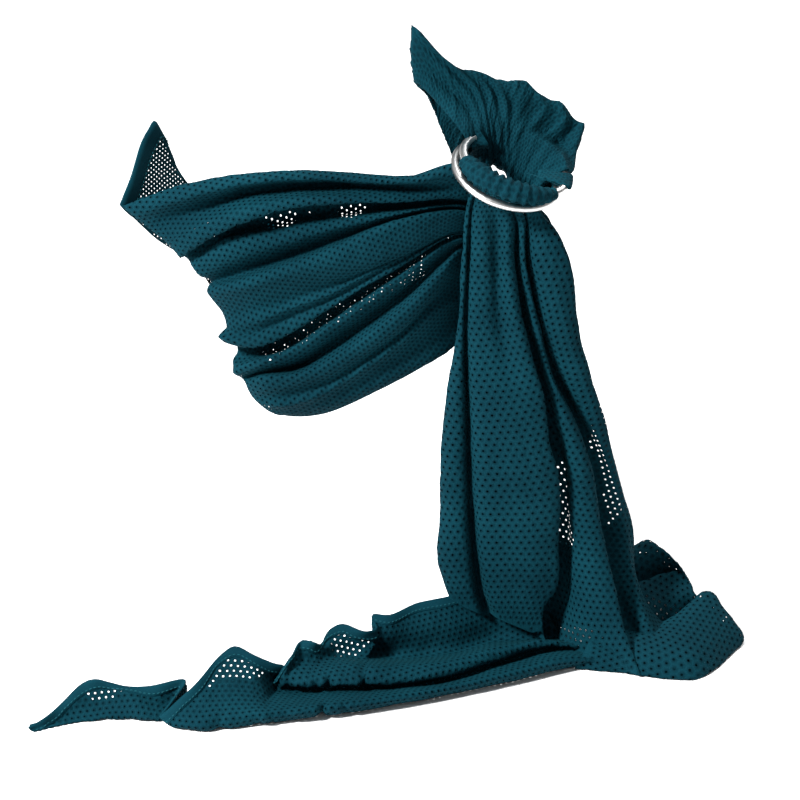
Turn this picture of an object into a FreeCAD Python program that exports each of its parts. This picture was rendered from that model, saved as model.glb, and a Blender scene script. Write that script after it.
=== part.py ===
"""Baby ring sling of open mesh cloth, draped as it is worn, with its tail trailing on the floor.

Units are millimetres. +Z is up, the floor is Z = 0, -Y faces the viewer of the sling's front and the
origin is on the floor under the middle of the whole sling. The two aluminium rings are at their true
size. The sling's cloth is one soft panel; here each draped stretch of it is a plain closed solid.
"""
import FreeCAD, Part
import os
from math import cos, radians, sin

from FreeCAD import Placement, Rotation, Vector

doc = FreeCAD.newDocument("ring_sling")
sheet = doc.addObject("Spreadsheet::Sheet", "dims")

DRIVING_DIMENSIONS = [
    ("origin_x", 2.5),
    ("origin_y", 49.0),
    ("ring_inner_diameter", 76.2),
    ("ring_bar_diameter", 6.35),
    ("ring_centre_x", 82.0),
    ("ring_centre_y", 0.0),
    ("ring_centre_z", 392.0),
    ("ring_yaw", -8.7),
    ("ring_pitch", 17.9),
    ("ring_roll", 13.0),
    ("ring_gap_across", 7.0),
    ("ring_gap_along", 3.8),
    ("ring_fan_angle", 5.0),
    ("ring_swing_limit", 15.0),
    ("ring_running_clearance", 0.08),
    ("ring_swing_clearance", 0.6),
    ("casing_radius", 14.0),
    ("casing_half_angle", 42.0),
    ("roll_radius_middle", 9.8),
    ("roll_radius_quarter", 9.0),
    ("roll_radius_end", 7.2),
    ("roll_half_angle", 70.0),
    ("cloth_gap", 0.3),
    ("hem_width", 8.0),
    ("hem_thickness", 2.0),
    ("thread_diameter", 0.8),
    ("stitch_length", 3.0),
    ("stitch_pitch", 5.0),
    ("floor_pool_depth", 14.0),
    ("column_top", 366.0),
    ("shoulder_front", 36.0),
    ("shoulder_depth", 28.0),
]
for row, (alias, value) in enumerate(DRIVING_DIMENSIONS, start=1):
    sheet.set(f"A{row}", alias)
    sheet.set(f"B{row}", str(value))
    sheet.setAlias(f"B{row}", alias)
doc.recompute()


def dim(alias):
    """The value of one driving dimension."""
    return float(sheet.get(alias))


SHIFT = Placement(Vector(dim("origin_x"), dim("origin_y"), 0), Rotation())
RING_RADIUS = (dim("ring_inner_diameter") + dim("ring_bar_diameter")) / 2
SUB_PARTS = []


def sub_part(item, name, placement=None):
    """Names a finished sub-part and puts it in the sling's frame."""
    item.Label = name
    if placement is not None:
        item.Placement = placement
    SUB_PARTS.append(item)
    return item


def feature(name, shape, placement=SHIFT):
    """A sub-part whose shape no primitive fits."""
    item = doc.addObject("Part::Feature", name)
    item.Shape = shape
    return sub_part(item, name, placement)


# --- the rings ---------------------------------------------------------------------------------

FRONT_RING = SHIFT.multiply(Placement(
    Vector(dim("ring_centre_x"), dim("ring_centre_y"), dim("ring_centre_z")),
    Rotation(dim("ring_yaw"), dim("ring_pitch"), dim("ring_roll"))))
# The rings hang by their rear arcs, so their motions are given about the rear point.
TO_REAR = Placement(Vector(0, RING_RADIUS, 0), Rotation())
FROM_REAR = Placement(Vector(0, -RING_RADIUS, 0), Rotation())


def swung(ring, angle):
    """The ring's placement after it swings about the tangent at its rear point."""
    turn = Placement(Vector(0, 0, 0), Rotation(Vector(1, 0, 0), angle))
    return ring.multiply(TO_REAR).multiply(turn).multiply(FROM_REAR)


BACK_OFFSET = Placement(Vector(dim("ring_gap_along"), 0, dim("ring_gap_across")), Rotation())
BACK_RING = swung(FRONT_RING.multiply(BACK_OFFSET), -dim("ring_fan_angle"))


def ring_torus(name, placement, bar_radius):
    """A torus of the rings' own circle. bar_radius is an expression in the sheet's cells."""
    torus = doc.addObject("Part::Torus", name)
    torus.setExpression("Radius1", "(dims.ring_inner_diameter + dims.ring_bar_diameter) / 2")
    torus.setExpression("Radius2", bar_radius)
    torus.Placement = placement
    return torus


front_ring = ring_torus("ring_front", FRONT_RING, "dims.ring_bar_diameter / 2")
back_ring = ring_torus("ring_back", BACK_RING, "dims.ring_bar_diameter / 2")
sub_part(front_ring, "ring_front")
sub_part(back_ring, "ring_back")


# --- the casing: the sewn sleeve that holds both rings' rear arcs --------------------------------

MID_OFFSET = Placement(Vector(dim("ring_gap_along") / 2, 0, dim("ring_gap_across") / 2), Rotation())
casing_body = ring_torus("casing_body", FRONT_RING.multiply(MID_OFFSET), "dims.casing_radius")
casing_body.setExpression("Angle3", "2 * dims.casing_half_angle")
casing_body.Placement = FRONT_RING.multiply(MID_OFFSET).multiply(
    Placement(Vector(0, 0, 0), Rotation(Vector(0, 0, 1), 90 - dim("casing_half_angle"))))

SWING_STEPS = 4
cutters = [ring_torus("back_ring_bore", BACK_RING,
                      "dims.ring_bar_diameter / 2 + dims.ring_running_clearance")]
for step in range(SWING_STEPS):
    angle = dim("ring_swing_limit") * step / (SWING_STEPS - 1)
    cutters.append(ring_torus(f"swing_pocket_{step}", swung(FRONT_RING, angle),
                              "dims.ring_bar_diameter / 2 + dims.ring_swing_clearance"))
casing = casing_body
for index, cutter in enumerate(cutters):
    cut = doc.addObject("Part::Cut", f"casing_cut_{index}")
    cut.Base = casing
    cut.Tool = cutter
    casing = cut
sub_part(casing, "ring_casing")


# --- the roll: the panel folded over the back ring's front arc -----------------------------------

def ring_section(placement, angle, radius):
    """A circular wire round the ring's bar, at an angle from the ring's front point."""
    centre = Vector(RING_RADIUS * sin(radians(angle)), -RING_RADIUS * cos(radians(angle)), 0)
    tangent = Vector(cos(radians(angle)), sin(radians(angle)), 0)
    wire = Part.Wire(Part.makeCircle(radius, centre, tangent))
    wire.Placement = placement
    return wire


roll_blank = doc.addObject("Part::Feature", "roll_blank")
ROLL_SECTIONS = [
    (-1.0, "roll_radius_end"), (-0.5, "roll_radius_quarter"), (0.0, "roll_radius_middle"),
    (0.5, "roll_radius_quarter"), (1.0, "roll_radius_end"),
]
roll_blank.Shape = Part.makeLoft(
    [ring_section(BACK_RING, share * dim("roll_half_angle"), dim(alias))
     for share, alias in ROLL_SECTIONS], True, False)
roll_bore = ring_torus("roll_bore", BACK_RING,
                       "dims.ring_bar_diameter / 2 + dims.ring_running_clearance")
roll = doc.addObject("Part::Cut", "ring_roll")
roll.Base = roll_blank
roll.Tool = roll_bore
sub_part(roll, "ring_roll")


# --- the cloth, stretch by stretch ---------------------------------------------------------------

AXES = {"y": Vector(0, 1, 0), "z": Vector(0, 0, 1)}


def loft(direction, sections):
    """A closed solid through polygons at stations along one axis.

    Each section is (station, points); the points give the other two coordinates in X, Y, Z order.
    """
    wires = []
    for station, points in sections:
        corners = []
        for first, second in points:
            if direction == "x":
                corners.append(Vector(station, first, second))
            elif direction == "y":
                corners.append(Vector(first, station, second))
            else:
                corners.append(Vector(first, second, station))
        wires.append(Part.makePolygon(corners + corners[:1]))
    return Part.makeLoft(wires, True, True)


def band(near_bottom, far_top):
    """A section that is a plain rectangle, from its lowest corner to its highest."""
    (a_low, b_low), (a_high, b_high) = near_bottom, far_top
    return [(a_low, b_low), (a_high, b_low), (a_high, b_high), (a_low, b_high)]


# The tail hangs from the roll, inside the front ring, and widens to the floor.
POOL = dim("floor_pool_depth")
GAP = dim("cloth_gap")
COLUMN = [
    (POOL + GAP, [(42, 18), (46, -6), (98, -34), (120, -58), (162, -84), (192, -88), (196, -20),
                  (188, 44), (70, 48)]),
    (100, [(31, 5), (38, -32), (90, -56), (122, -62), (158, -70), (184, -58), (189, -10),
           (176, 26), (70, 28)]),
    (205, [(35, 0), (40, -30), (80, -52), (115, -56), (138, -56), (154, -46), (158, -15),
           (146, 12), (70, 14)]),
    (300, [(45, -10), (49, -28), (75, -40), (96, -42), (112, -42), (128, -32), (132, -14),
           (122, 0), (70, 0)]),
    (335, [(50, -10), (52, -20), (72, -30), (90, -31), (104, -28), (116, -20), (121, -10),
           (112, -3), (70, -3)]),
    (352, [(52, -10), (54, -16), (72, -21), (86, -21), (97, -18), (106, -14), (110, -9),
           (104, -5), (70, -5)]),
    (dim("column_top"), [(54, -10), (56, -15), (72, -19), (84, -19), (94, -16), (102, -13),
                         (106, -9), (102, -6), (70, -6)]),
]
feature("tail_column", loft("z", COLUMN))

# The cloth that lies on the floor is drawn a little too deep and cut off flat at the floor.
UNDER = -2.0
FLOOR_SPAN = 800.0


def on_floor(name, blank_shape):
    """A sub-part that is the part of a blank above the floor."""
    blank = doc.addObject("Part::Feature", name + "_blank")
    blank.Shape = blank_shape
    blank.Placement = SHIFT
    space = doc.addObject("Part::Box", name + "_space")
    space.Length = FLOOR_SPAN
    space.Width = FLOOR_SPAN
    space.Height = FLOOR_SPAN
    space.Placement = Placement(Vector(-FLOOR_SPAN / 2, -FLOOR_SPAN / 2, 0), Rotation())
    kept = doc.addObject("Part::Common", name)
    kept.Base = blank
    kept.Tool = space
    return sub_part(kept, name)


# On the floor the tail doubles back to the left under the column and runs out to its pointed corner.
FLOOR_TAIL = [
    (-284, [(-186, UNDER), (-180, UNDER), (-181, 3), (-184, 4), (-186, 3)]),
    (-240, [(-177, UNDER), (-140, UNDER), (-146, 22), (-155, 18), (-175, 5)]),
    (-186, [(-168, UNDER), (-125, UNDER), (-136, 24), (-150, 24), (-166, 6)]),
    (-147, [(-180, UNDER), (-88, UNDER), (-104, 32), (-124, 30), (-178, 6)]),
    (-82, [(-162, UNDER), (-62, UNDER), (-84, 32), (-112, 34), (-160, 8)]),
    (-22, [(-146, UNDER), (-30, UNDER), (-50, 34), (-80, 36), (-143, 10)]),
    (34, [(-126, UNDER), (20, UNDER), (14, POOL), (-60, POOL), (-122, 10)]),
    (100, [(-94, UNDER), (70, UNDER), (64, POOL), (-40, POOL), (-90, 10)]),
    (196, [(-80, UNDER), (66, UNDER), (60, POOL), (-40, POOL), (-76, 10)]),
]
on_floor("tail_floor", loft("x", FLOOR_TAIL))

# The loop of the doubled tail lies to the right of the column, its back folded up on itself.
FLOOR_FLAP = [
    (196 + GAP, [(-106, UNDER), (60, UNDER), (46, 52), (0, 44), (-94, 12)]),
    (220, [(-108, UNDER), (38, UNDER), (20, 50), (-20, 40), (-98, 10)]),
    (245, [(-102, UNDER), (6, UNDER), (-12, 40), (-40, 30), (-92, 8)]),
    (268, [(-76, UNDER), (-12, UNDER), (-28, 22), (-44, 16), (-68, 6)]),
    (279, [(-44, UNDER), (-24, UNDER), (-28, 5), (-34, 5), (-40, 4)]),
]
on_floor("tail_floor_flap", loft("x", FLOOR_FLAP))

# The front panel runs left from the rings; its folds fan out from them.
FRONT_PANEL = [
    (-204, band((-14, 366), (-4, 376))),
    (-174, band((-24, 333), (-6, 384))),
    (-140, band((-30, 284), (-8, 392))),
    (-131, band((-32, 240), (-8, 394))),
    (-84, band((-38, 197), (-12, 398))),
    (-26, band((-36, 211), (-10, 398))),
    (12, band((-30, 232), (-6, 396))),
    (30, band((-26, 248), (-5, 397))),
    (40, band((-24, 256), (-4, 370))),
]
feature("body_front_panel", loft("x", FRONT_PANEL))

# Behind the column the panel's gathers rise into the rings.
BODY_GATHER = [
    (262, [(44, 10), (112, 12), (108, 26), (44, 24)]),
    (330, [(44, 3), (106, 3), (102, 15), (44, 16)]),
    (372, [(58, -2), (100, -2), (98, 5), (58, 6)]),
]
feature("body_gather", loft("z", BODY_GATHER))

# The left side of the loop turns to the back, and its upper corner stands up in a point.
SIDE_FOLD = [
    (-3.5, [(-214, 368), (-200, 374), (-124, 250), (-140, 234)]),
    (15, [(-211, 388), (-198, 392), (-122, 246), (-138, 228)]),
    (32, [(-196, 417), (-187, 413), (-118, 240), (-134, 222)]),
    (50, [(-168, 374), (-156, 368), (-114, 236), (-130, 218)]),
]
feature("body_side_fold", loft("y", SIDE_FOLD))

# The back panel closes the loop behind, and the shoulder strip takes it up to the shoulder fold.
BACK_PANEL = [
    (-152, band((50.3, 244), (62, 352))),
    (-110, band((58, 214), (70, 330))),
    (-40, band((66, 214), (80, 312))),
    (20, band((68, 226), (86, 326))),
]
feature("body_back_panel", loft("x", BACK_PANEL))
SHOULDER_STRIP = [
    (232, band((20.3, 66), (52, 88))),
    (330, band((20.3, 66), (56, 88))),
    (372, band((40, 66), (66, 86))),
    (400, band((31, 66), (98, 84))),
    (418, band((22, 64.5), (128, 80))),
]
feature("shoulder_back_strip", loft("z", SHOULDER_STRIP))

# The shoulder gather fans up from the casing to the fold that rests on the shoulder.
SHOULDER_OUTLINE = [
    (44, 425), (14, 446), (8, 459), (8, 492), (31, 463), (77, 446), (110, 434), (143, 411),
    (138, 390), (134, 382), (133.5, 408), (120, 425),
]


def prism(outline, near, depth):
    """A closed solid with an outline in X and Z and an even depth in Y."""
    corners = [Vector(x, near, z) for x, z in outline]
    face = Part.Face(Part.makePolygon(corners + corners[:1]))
    return face.extrude(AXES["y"] * depth)


feature("shoulder_gather",
        prism(SHOULDER_OUTLINE, dim("shoulder_front"), dim("shoulder_depth")))


# --- hems and stitching ----------------------------------------------------------------------------

def ribbon(path, width_axis, width, thickness):
    """A flat hem strip along a path, width along width_axis and thickness upward."""
    side = AXES[width_axis] * (width / 2)
    rise = AXES["z"] * thickness
    wires = []
    for x, y, z in path:
        foot = Vector(x, y, z)
        corners = [foot - side, foot + side, foot + side + rise, foot - side + rise]
        wires.append(Part.makePolygon(corners + corners[:1]))
    return Part.makeLoft(wires, True, True)


HEM_W = dim("hem_width")
HEM_T = dim("hem_thickness")
FRONT_RAIL = [(-174, -15, 384), (-140, -19, 392), (-131, -20, 394), (-84, -25, 398),
              (-26, -23, 398), (12, -18, 396), (29, -16, 397)]
feature("front_rail_hem",
        ribbon([(x, y, z + GAP) for x, y, z in FRONT_RAIL], "y", HEM_W, HEM_T))
BACK_RAIL = [(-150, 56, 352), (-110, 64, 330), (-40, 73, 312), (16, 77, 325)]
feature("back_rail_hem",
        ribbon([(x, y, z + GAP) for x, y, z in BACK_RAIL], "y", HEM_W, HEM_T))
TAIL_RAIL = [(-238, -150, 24), (-186, -142, 26), (-147, -113, 34), (-82, -96, 36), (-24, -66, 37)]
feature("tail_rail_hem",
        ribbon([(x, y, z + GAP) for x, y, z in TAIL_RAIL], "y", HEM_W, HEM_T))


def stitch_row(start, end):
    """A row of short thread bars, evenly spaced between two points."""
    along = end - start
    count = int(along.Length // dim("stitch_pitch"))
    along.normalize()
    spare = (end - start).Length - (count - 1) * dim("stitch_pitch") - dim("stitch_length")
    bars = []
    for index in range(count):
        foot = start + along * (spare / 2 + index * dim("stitch_pitch"))
        bars.append(Part.makeCylinder(dim("thread_diameter") / 2, dim("stitch_length"), foot, along))
    return bars


CASING_SEAM_HEIGHTS = (428.0, 433.0, 438.0)
SEAM_LEFT = 40.0
SEAM_RIGHT = 98.0
SEAM_FALL = 2.0
seam_y = dim("shoulder_front") - dim("thread_diameter") / 2 - GAP
casing_stitches = []
for height in CASING_SEAM_HEIGHTS:
    left = Vector(SEAM_LEFT, seam_y, height)
    right = Vector(SEAM_RIGHT, seam_y, height - SEAM_FALL)
    casing_stitches += stitch_row(left, right)
feature("casing_stitching", Part.makeCompound(casing_stitches))


# --- checks and files --------------------------------------------------------------------------------

doc.recompute()
for item in doc.Objects:
    if "Invalid" in item.State or "Error" in item.State:
        raise RuntimeError(f"{item.Label} is {item.State}")
for item in SUB_PARTS:
    if item.Shape.isNull() or not item.Shape.isValid():
        raise RuntimeError(f"{item.Label} has no valid shape")

os.makedirs("parts", exist_ok=True)
for item in SUB_PARTS:
    item.Shape.exportStep(f"parts/{item.Label}.step")
    print(f"{item.Label}: {item.Shape.Volume / 1000:.1f} cm3")
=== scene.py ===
"""The looks of the baby ring sling: open-mesh teal cloth drawn through two satin rings.

Lengths in the tables are millimetres in the sling's own design frame; everything that is built is in
metres in the CAD frame. Each cloth piece is a surface through fold lines, each line running the way the
cloth runs. The surface is flattened, and the knit's holes are cut on a regular grid in the flat cloth.
"""
import math

import bpy
import numpy as np
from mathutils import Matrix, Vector, noise
from mathutils.bvhtree import BVHTree


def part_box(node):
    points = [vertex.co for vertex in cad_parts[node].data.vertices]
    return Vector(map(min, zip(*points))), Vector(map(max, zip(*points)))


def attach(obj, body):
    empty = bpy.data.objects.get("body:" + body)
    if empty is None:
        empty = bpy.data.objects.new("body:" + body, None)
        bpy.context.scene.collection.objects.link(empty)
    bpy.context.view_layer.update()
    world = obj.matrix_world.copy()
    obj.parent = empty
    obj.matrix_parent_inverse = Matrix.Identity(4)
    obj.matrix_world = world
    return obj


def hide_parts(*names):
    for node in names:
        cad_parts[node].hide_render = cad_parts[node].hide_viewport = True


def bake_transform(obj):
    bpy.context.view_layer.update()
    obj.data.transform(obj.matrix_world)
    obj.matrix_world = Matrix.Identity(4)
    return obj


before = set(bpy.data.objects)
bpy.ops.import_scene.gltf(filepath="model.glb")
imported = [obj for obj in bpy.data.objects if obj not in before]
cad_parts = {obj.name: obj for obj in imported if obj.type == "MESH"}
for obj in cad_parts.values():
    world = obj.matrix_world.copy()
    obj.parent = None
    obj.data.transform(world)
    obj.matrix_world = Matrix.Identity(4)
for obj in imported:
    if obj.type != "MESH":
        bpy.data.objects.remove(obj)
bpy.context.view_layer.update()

MM = 0.001
RING_CENTRE = np.array([82.0, 0.0, 392.0])          # the front ring's centre in the design frame
RING_RADIUS = 41.275                                # to the middle of the bar


def box_centre(node):
    low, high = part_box(node)
    return (np.array(low) + np.array(high)) / 2


ORIGIN = box_centre("ring_front") - RING_CENTRE * MM


def placed(points):
    """Design millimetres to metres in the CAD frame."""
    return ORIGIN + np.asarray(points, dtype=float) * MM


# --- curves and surfaces -------------------------------------------------------------------------

def tangents(points, knots):
    """Finite-difference tangents for uneven knots; points are [n, ..., 3], knots [n, ...]."""
    steps = np.diff(knots, axis=0)
    slopes = np.diff(points, axis=0) / steps[..., None]
    inner = (slopes[:-1] * steps[1:, ..., None] + slopes[1:] * steps[:-1, ..., None])
    inner = inner / (steps[:-1] + steps[1:])[..., None]
    return np.concatenate([slopes[:1], inner, slopes[-1:]])


def hermite(points, knots, span, share):
    """Points on the cubic through the given points, at a share of each named span."""
    slope = tangents(points, knots)
    step = (knots[span + 1] - knots[span])[..., None]
    part = share.reshape([-1] + [1] * (points.ndim - 1))
    square = part * part
    cube = square * part
    return (points[span] * (2 * cube - 3 * square + 1) + points[span + 1] * (3 * square - 2 * cube)
            + slope[span] * step * (cube - 2 * square + part) + slope[span + 1] * step * (cube - square))


def chord_knots(points):
    """Centripetal knots, which keep a curve from overshooting where its points are close."""
    gaps = np.linalg.norm(np.diff(points, axis=0), axis=-1) ** 0.5
    gaps = np.maximum(gaps, 1e-4)
    return np.concatenate([np.zeros((1,) + gaps.shape[1:]), np.cumsum(gaps, axis=0)])


STEPS_PER_SPAN = 24         # between two points of a fold line, before it is spaced evenly


def fine_line(line, count):
    """A smooth curve through a fold line's points, evenly spaced, and each point's place in the line."""
    points = np.asarray(line, dtype=float)
    knots = chord_knots(points)
    index = np.arange((len(points) - 1) * STEPS_PER_SPAN + 1)
    span = np.minimum(index // STEPS_PER_SPAN, len(points) - 2)
    dense = hermite(points, knots, span, (index - span * STEPS_PER_SPAN) / STEPS_PER_SPAN)
    lengths = np.concatenate([[0], np.cumsum(np.linalg.norm(np.diff(dense, axis=0), axis=1))])
    wanted = np.linspace(0, lengths[-1], count)
    points = np.stack([np.interp(wanted, lengths, dense[:, axis]) for axis in range(3)], axis=1)
    return points, np.interp(wanted, lengths, index / STEPS_PER_SPAN)


def surface(lines, along, spacing):
    """A grid [across, along, 3] in design millimetres through the fold lines, and its places.

    A place [across, along, 3] counts fold lines across the cloth and table points along it, and
    gives the share of the way along.
    """
    fine = [fine_line(line, along) for line in lines]
    rows = np.stack([points for points, _ in fine])
    marks = np.stack([mark for _, mark in fine])
    widths = np.linalg.norm(np.diff(rows, axis=0), axis=-1).mean(axis=1)
    spans, shares = [], []
    for index, width in enumerate(widths):
        count = max(2, round(width / spacing))
        spans += [index] * count
        shares += [step / count for step in range(count)]
    spans.append(len(lines) - 2)
    shares.append(1.0)
    spans, shares = np.array(spans), np.array(shares)
    grid = hermite(rows, chord_knots(rows), spans, shares)
    along_marks = marks[spans] * (1 - shares[:, None]) + marks[spans + 1] * shares[:, None]
    across_marks = np.broadcast_to((spans + shares)[:, None], along_marks.shape)
    length_marks = np.broadcast_to(np.linspace(0, 1, along)[None, :], along_marks.shape)
    return grid, np.stack([across_marks, along_marks, length_marks], axis=-1)


def normals(grid):
    cross = np.cross(np.gradient(grid, axis=0), np.gradient(grid, axis=1))
    return cross / np.maximum(np.linalg.norm(cross, axis=-1, keepdims=True), 1e-9)


def crumpled(grid, amounts, seed):
    """Small uneven bumps along the normal; amounts are (height, size) pairs in millimetres."""
    bump = np.zeros(grid.shape[:2])
    for height, size in amounts:
        for i in range(grid.shape[0]):
            for j in range(grid.shape[1]):
                spot = Vector(grid[i, j]) / size + Vector((seed, 0, 0))
                bump[i, j] += height * noise.noise(spot)
    return grid + normals(grid) * bump[..., None]


# --- flat cloth ----------------------------------------------------------------------------------

def grid_faces(rows, columns):
    index = np.arange(rows * columns).reshape(rows, columns)
    corners = [index[:-1, :-1], index[1:, :-1], index[1:, 1:], index[:-1, 1:]]
    return np.stack([c.ravel() for c in corners], axis=1)


FLAT_STEPS = (4.5, 9.0)     # the coarse grid that is flattened: across and along the cloth


def coarse_lines(grid, axis):
    """The numbers of the grid lines that the coarse grid keeps."""
    gap = np.linalg.norm(np.diff(grid, axis=axis), axis=-1).mean()
    count = int(grid.shape[axis] * gap / FLAT_STEPS[axis]) + 2
    return np.unique(np.round(np.linspace(0, grid.shape[axis] - 1, count)).astype(int))


def flattened(grid):
    """The grid laid flat with the least stretch, in millimetres, and the grid lines that it keeps."""
    rows, columns = coarse_lines(grid, 0), coarse_lines(grid, 1)
    coarse = grid[np.ix_(rows, columns)]
    faces = grid_faces(len(rows), len(columns))
    mesh = bpy.data.meshes.new("flat")
    mesh.from_pydata(coarse.reshape(-1, 3).tolist(), [], faces.tolist())
    mesh.uv_layers.new(name="flat")
    obj = bpy.data.objects.new("flat", mesh)
    bpy.context.scene.collection.objects.link(obj)
    bpy.context.view_layer.objects.active = obj
    bpy.ops.object.select_all(action="DESELECT")
    obj.select_set(True)
    bpy.ops.object.mode_set(mode="EDIT")
    bpy.ops.mesh.select_all(action="SELECT")
    bpy.ops.uv.unwrap(method="MINIMUM_STRETCH", margin=0.0)
    bpy.ops.object.mode_set(mode="OBJECT")
    flat = np.zeros((len(mesh.vertices), 2))
    loops = np.zeros(len(mesh.loops), dtype=int)
    mesh.loops.foreach_get("vertex_index", loops)
    values = np.zeros(len(mesh.loops) * 2)
    mesh.uv_layers["flat"].data.foreach_get("uv", values)
    flat[loops] = values.reshape(-1, 2)
    bpy.data.objects.remove(obj)
    bpy.data.meshes.remove(mesh)
    return scaled_flat(coarse, flat.reshape(len(rows), len(columns), 2)), rows, columns


def quad_areas(points):
    a = points[1:, :-1] - points[:-1, :-1]
    b = points[:-1, 1:] - points[:-1, :-1]
    if points.shape[-1] == 2:
        return a[..., 0] * b[..., 1] - a[..., 1] * b[..., 0]
    return np.linalg.norm(np.cross(a, b), axis=-1)


def scaled_flat(coarse, flat):
    """Gives the flat layout its true size, and turns it so that its second axis runs along the cloth."""
    if quad_areas(flat).sum() < 0:
        flat = flat * np.array([-1, 1])
    flat = flat * math.sqrt(quad_areas(coarse).sum() / quad_areas(flat).sum())
    run = (flat[:, 1:] - flat[:, :-1]).reshape(-1, 2).sum(axis=0)
    turn = math.atan2(run[0], run[1])
    cosine, sine = math.cos(turn), math.sin(turn)
    return flat @ np.array([[cosine, sine], [-sine, cosine]])


HOLE_PITCH = 5.8            # across the cloth
ROW_PITCH = 4.9             # between staggered rows of holes
HOLE_RADIUS = 0.92
HOLE_CORNERS = 6
JOIN_STEPS = 1000           # per millimetre: corners that round to the same step are one corner
ON_CLOTH = 0.001            # how far outside the cloth's edge a point still counts as on it


def hole_centres(cloth, scale):
    """The middles of staggered rows of holes that cover the flat cloth and a little more."""
    low, high = cloth.points.min(axis=0) / scale, cloth.points.max(axis=0) / scale
    centres = []
    for row in range(math.floor(low[1] / ROW_PITCH), math.ceil(high[1] / ROW_PITCH) + 1):
        first = HOLE_PITCH / 2 * (row % 2)
        x = np.arange(math.floor(low[0] / HOLE_PITCH), math.ceil(high[0] / HOLE_PITCH) + 1)
        centres.append(np.stack([x * HOLE_PITCH + first, np.full(len(x), row * ROW_PITCH)], axis=1))
    return np.concatenate(centres) * scale


def cell_corners(centres, scale):
    """The six corners of the cell round each hole, shared between neighbours."""
    half = HOLE_PITCH / 2
    low = (ROW_PITCH ** 2 - half ** 2) / (2 * ROW_PITCH)
    high = ROW_PITCH - low
    offsets = np.array([(0, high), (-half, low), (-half, -low), (0, -high), (half, -low), (half, low)])
    return centres[:, None, :] + offsets * scale


def hole_ring(centres, scale):
    angle = np.radians(90 + 60 * np.arange(HOLE_CORNERS))
    return centres[:, None, :] + scale * HOLE_RADIUS * np.stack([np.cos(angle), np.sin(angle)], axis=1)


class FlatCloth:
    """Looks up where a point of the flat cloth lies on the draped surface."""

    def __init__(self, grid):
        self.grid = grid
        self.flat, self.rows, self.columns = flattened(grid)
        quads = grid_faces(len(self.rows), len(self.columns))
        self.triangles = np.concatenate([quads[:, [0, 1, 2]], quads[:, [0, 2, 3]]])
        self.points = self.flat.reshape(-1, 2)
        solid = np.concatenate([self.points, np.zeros((len(self.points), 1))], axis=1)
        self.tree = BVHTree.FromPolygons(solid.tolist(), self.triangles.tolist())
        i, j = np.meshgrid(self.rows, self.columns, indexing="ij")
        self.index = np.stack([i, j], axis=-1).reshape(-1, 2).astype(float)

    def find(self, wanted):
        """Grid places [n, 2] of flat points, and whether each point is on the cloth.

        A point beyond the cloth is given the place of the nearest point of its edge.
        """
        faces = np.zeros(len(wanted), dtype=int)
        inside = np.zeros(len(wanted), dtype=bool)
        nearest = wanted.copy()
        for k, (x, y) in enumerate(wanted):
            spot, _, face, distance = self.tree.find_nearest(Vector((x, y, 0.0)))
            faces[k] = face
            inside[k] = distance < ON_CLOTH
            nearest[k] = spot[:2]
        a, b, c = (self.points[self.triangles[faces, k]] for k in range(3))
        ab, ac, ap = b - a, c - a, nearest - a
        area = ab[:, 0] * ac[:, 1] - ab[:, 1] * ac[:, 0]
        wb = (ap[:, 0] * ac[:, 1] - ap[:, 1] * ac[:, 0]) / area
        wc = (ab[:, 0] * ap[:, 1] - ab[:, 1] * ap[:, 0]) / area
        ia, ib, ic = (self.index[self.triangles[faces, k]] for k in range(3))
        return ia + wb[:, None] * (ib - ia) + wc[:, None] * (ic - ia), inside

    def lift(self, place, values=None):
        """Points on the draped surface at grid places, or other values given on its grid."""
        if values is None:
            values = self.grid
        last = np.array(values.shape[:2]) - 1
        place = np.clip(place, 0, last)
        low = np.minimum(place.astype(int), last - 1)
        across, along = (place - low).T[..., None]
        i, j = low.T
        before = values[i, j] * (1 - across) + values[i + 1, j] * across
        after = values[i, j + 1] * (1 - across) + values[i + 1, j + 1] * across
        return before * (1 - along) + after * along


def mesh_object(name, points, faces, material, smooth=True):
    mesh = bpy.data.meshes.new(name)
    mesh.from_pydata(points.tolist(), [], faces)
    mesh.polygons.foreach_set("use_smooth", [smooth] * len(mesh.polygons))
    obj = bpy.data.objects.new(name, mesh)
    bpy.context.scene.collection.objects.link(obj)
    mesh.materials.append(material)
    return obj


def cell_faces(cells, is_open, start):
    """The cloth round each hole, and the dimple in a hole that is pulled shut.

    Cells are given as their corners' numbers; the holes' own points are numbered on from start.
    """
    faces = []
    for cell, hole_open in zip(cells, is_open):
        for k in range(HOLE_CORNERS):
            n = (k + 1) % HOLE_CORNERS
            faces.append((cell[k], cell[n], start + n, start + k))
        if not hole_open:
            faces.append(tuple(range(start, start + HOLE_CORNERS)))
        start += HOLE_CORNERS
    return faces


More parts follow.
